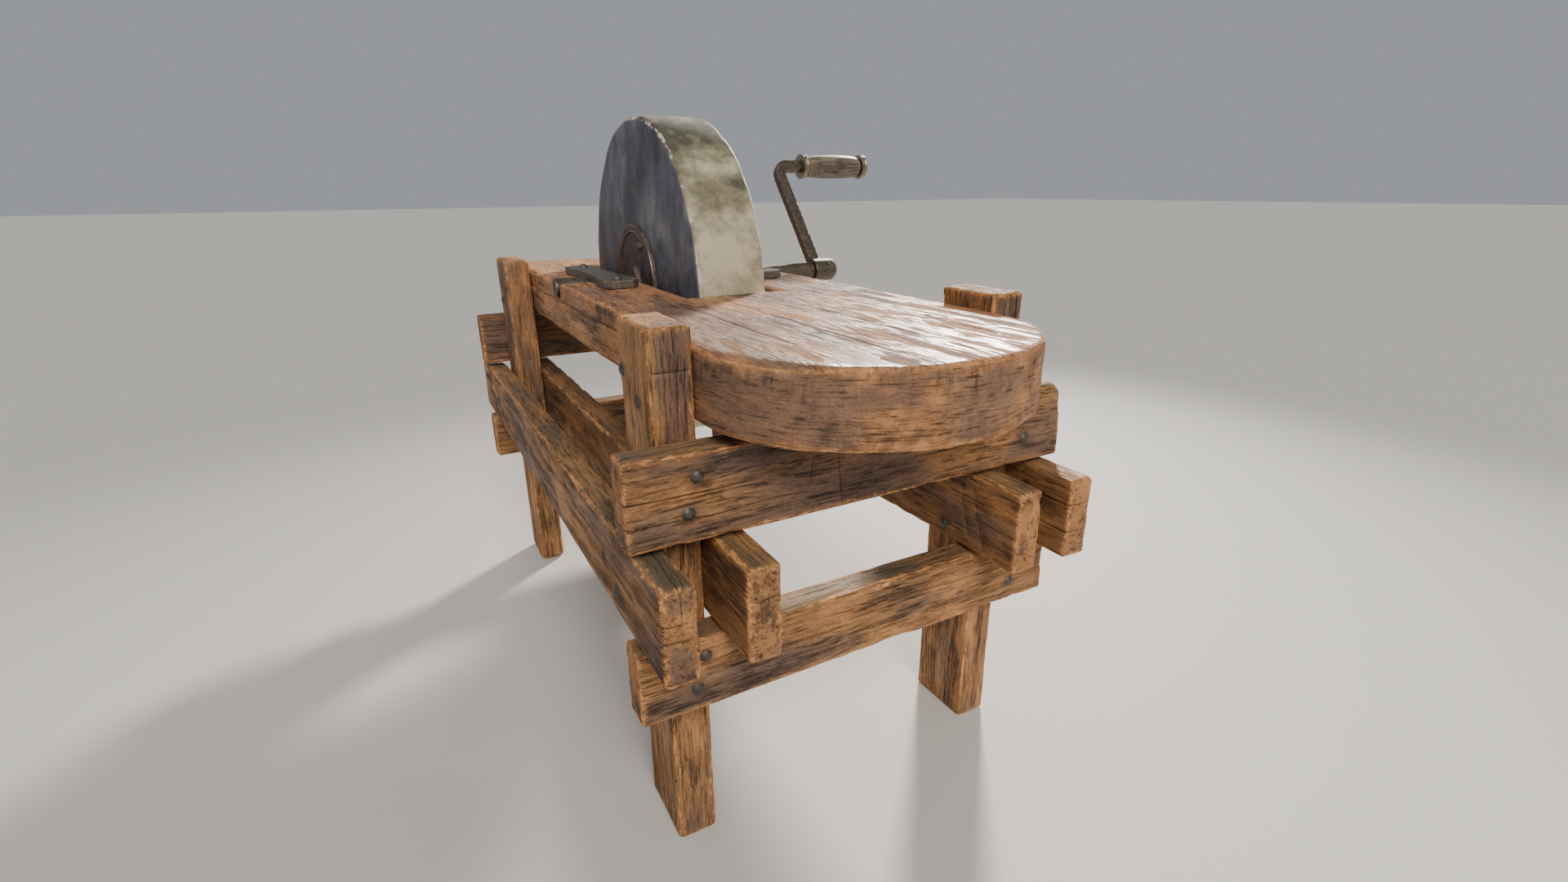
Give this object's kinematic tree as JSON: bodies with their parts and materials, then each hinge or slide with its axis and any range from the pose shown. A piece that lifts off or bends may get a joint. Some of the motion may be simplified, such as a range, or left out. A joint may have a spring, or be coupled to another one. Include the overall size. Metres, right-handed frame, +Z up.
{
  "type": "grindstone",
  "caption": "Hand-cranked grindstone: a thick stone wheel on an iron shaft in strapped bearings, set in the slot of a heavy nailed timber bench, with a turning grip.",
  "frame": {"origin": "on the ground, under the middle of the object's bounding box at rest", "axes": "+X along the shaft towards the crank, +Y along the bench towards its square back end, +Z up"},
  "size_m": [0.908, 1.351, 0.965],
  "materials": {
    "weathered_wood": "weathered, matt",
    "bench_top_wood": "worn smooth, satin",
    "packing_wood": "rough",
    "grip_wood": "hand-polished, satin",
    "grit_stone": "matt sandstone",
    "forged_iron": "dark forged",
    "rusty_iron": "rusty",
    "crank_iron": "worn, rust-brown",
    "nail_iron": "dull",
    "fastener_iron": "worn",
    "shaft_steel": "worn, dark"
  },
  "bodies": {
    "frame": {"leg_front_left": "weathered_wood", "leg_front_right": "weathered_wood", "leg_back_left": "weathered_wood", "leg_back_right": "weathered_wood", "lower_rail_front": "weathered_wood", "lower_rail_back": "weathered_wood", "upper_rail_front": "weathered_wood", "upper_rail_back": "weathered_wood", "side_rail_outer_left": "weathered_wood", "side_rail_inner_left": "weathered_wood", "side_rail_inner_right": "weathered_wood", "side_rail_outer_right": "weathered_wood", "bench_top": "bench_top_wood", "nails_bench_top": "nail_iron", "nails_upper_rails": "nail_iron", "nails_lower_rails": "nail_iron", "nails_outer_rails": "nail_iron", "nails_inner_rails": "nail_iron", "bearing_saddle_left": "forged_iron", "bearing_saddle_right": "forged_iron", "bearing_strap_left": "forged_iron", "bearing_strap_right": "forged_iron", "strap_bolts": "fastener_iron", "strap_washers": "fastener_iron", "strap_nuts": "fastener_iron"},
    "rotor": {"shaft": "shaft_steel", "stone": "grit_stone", "stone_packing": "packing_wood", "flange_left": "rusty_iron", "flange_right": "rusty_iron", "clamp_bolts": "fastener_iron", "clamp_nuts": "fastener_iron", "flange_pins": "fastener_iron", "crank_arm": "crank_iron", "crank_pin": "fastener_iron", "crank_nut": "crank_iron", "grip_collar": "crank_iron", "grip_end_cap": "crank_iron"},
    "grip": {"grip": "grip_wood"}
  },
  "joints": [
    {"name": "shaft_spin", "type": "hinge", "parent": "frame", "child": "rotor", "pos_m": [-0.129, 0.1915, 0.667], "axis": [1, 0, 0], "continuous": true},
    {"name": "grip_spin", "type": "hinge", "parent": "rotor", "child": "grip", "pos_m": [0.359, 0.37341, 0.88379], "axis": [1, 0, 0], "continuous": true}
  ]
}
